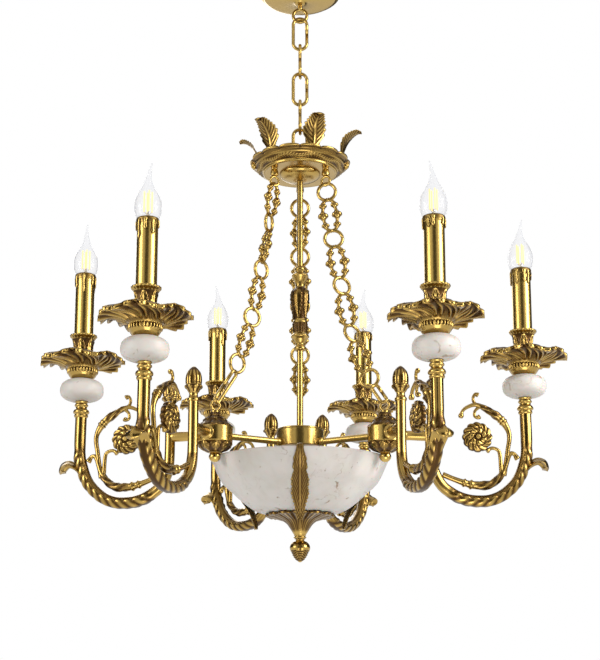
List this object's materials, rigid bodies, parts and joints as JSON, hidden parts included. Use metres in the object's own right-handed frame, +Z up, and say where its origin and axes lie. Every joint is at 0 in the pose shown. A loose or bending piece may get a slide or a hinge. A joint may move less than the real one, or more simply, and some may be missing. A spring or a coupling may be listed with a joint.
{
  "type": "chandelier",
  "caption": "Chain-hung brass chandelier: candle arms with alabaster knobs and leafy drip pans around an alabaster bowl, carried by three ornamental side chains.",
  "frame": {"origin": "centre of the ceiling plate's flat top, where it meets the ceiling", "axes": "+Z up, square to the ceiling; -Y towards the viewer of the picture; +X to the viewer's right"},
  "size_m": [0.7265, 0.6567, 0.8403],
  "materials": {
    "satin_brass": "satin antique gold",
    "antique_brass": "darkened antique gold",
    "alabaster": "polished white stone with brown veins",
    "clear_glass": "clear"
  },
  "bodies": {
    "ceiling": {"ceiling_plate": "satin_brass", "ceiling_loop": "antique_brass"},
    "link_1": {"chain_link_1": "antique_brass"},
    "link_2": {"chain_link_2": "antique_brass"},
    "link_3": {"chain_link_3": "antique_brass"},
    "link_4": {"chain_link_4": "antique_brass"},
    "frame": {"canopy": "satin_brass", "canopy_crown": "satin_brass", "canopy_dome": "satin_brass", "stem_upper_tube": "satin_brass", "stem_vase": "satin_brass", "stem_lower_tube": "satin_brass", "hub": "satin_brass", "bowl_cup": "satin_brass", "canopy_loop": "antique_brass", "centre_rod": "antique_brass", "bottom_finial": "antique_brass", "bowl_leaf_1": "antique_brass", "bowl_leaf_2": "antique_brass", "bowl_leaf_3": "antique_brass", "spoke_1": "satin_brass", "drum_1": "satin_brass", "side_chain_1": "satin_brass", "spoke_2": "satin_brass", "drum_2": "satin_brass", "side_chain_2": "satin_brass", "spoke_3": "satin_brass", "drum_3": "satin_brass", "side_chain_3": "satin_brass", "bowl": "alabaster", "arm_1": "satin_brass", "knob_1": "alabaster", "drip_pan_1": "antique_brass", "candle_sleeve_1": "satin_brass", "arm_2": "satin_brass", "knob_2": "alabaster", "drip_pan_2": "antique_brass", "candle_sleeve_2": "satin_brass", "arm_3": "satin_brass", "knob_3": "alabaster", "drip_pan_3": "antique_brass", "candle_sleeve_3": "satin_brass", "arm_4": "satin_brass", "knob_4": "alabaster", "drip_pan_4": "antique_brass", "candle_sleeve_4": "satin_brass", "arm_5": "satin_brass", "knob_5": "alabaster", "drip_pan_5": "antique_brass", "candle_sleeve_5": "satin_brass", "arm_6": "satin_brass", "knob_6": "alabaster", "drip_pan_6": "antique_brass", "candle_sleeve_6": "satin_brass"},
    "lamp_1": {"bulb_1": "clear_glass"},
    "lamp_2": {"bulb_2": "clear_glass"},
    "lamp_3": {"bulb_3": "clear_glass"},
    "lamp_4": {"bulb_4": "clear_glass"},
    "lamp_5": {"bulb_5": "clear_glass"},
    "lamp_6": {"bulb_6": "clear_glass"}
  },
  "joints": [
    {"name": "chain_swing_1", "type": "hinge", "parent": "ceiling", "child": "link_1", "pos_m": [0, 0, -0.0451], "axis": [0, 1, 0], "range_deg": [-30, 30]},
    {"name": "chain_swing_2", "type": "hinge", "parent": "link_1", "child": "link_2", "pos_m": [0, 0, -0.0886], "axis": [1, 0, 0], "range_deg": [-30, 30]},
    {"name": "chain_swing_3", "type": "hinge", "parent": "link_2", "child": "link_3", "pos_m": [0, 0, -0.1321], "axis": [0, 1, 0], "range_deg": [-30, 30]},
    {"name": "chain_swing_4", "type": "hinge", "parent": "link_3", "child": "link_4", "pos_m": [0, 0, -0.1756], "axis": [1, 0, 0], "range_deg": [-30, 30]},
    {"name": "chain_swing_5", "type": "hinge", "parent": "link_4", "child": "frame", "pos_m": [0, 0, -0.2191], "axis": [0, 1, 0], "range_deg": [-30, 30]},
    {"name": "bulb_screw_1", "type": "hinge", "parent": "frame", "child": "lamp_1", "pos_m": [-0.3011, -0.01627, -0.44], "axis": [0, 0, 1], "range_deg": [0, 1260]},
    {"name": "bulb_screw_2", "type": "hinge", "parent": "frame", "child": "lamp_2", "pos_m": [-0.18832, -0.24447, -0.44], "axis": [0, 0, 1], "range_deg": [0, 1260]},
    {"name": "bulb_screw_3", "type": "hinge", "parent": "frame", "child": "lamp_3", "pos_m": [0.16464, -0.25262, -0.44], "axis": [0, 0, 1], "range_deg": [0, 1260]},
    {"name": "bulb_screw_4", "type": "hinge", "parent": "frame", "child": "lamp_4", "pos_m": [0.30588, -0.04085, -0.44], "axis": [0, 0, 1], "range_deg": [0, 1260]},
    {"name": "bulb_screw_5", "type": "hinge", "parent": "frame", "child": "lamp_5", "pos_m": [0.10309, 0.29534, -0.44], "axis": [0, 0, 1], "range_deg": [0, 1260]},
    {"name": "bulb_screw_6", "type": "hinge", "parent": "frame", "child": "lamp_6", "pos_m": [-0.13305, 0.27219, -0.44], "axis": [0, 0, 1], "range_deg": [0, 1260]}
  ]
}
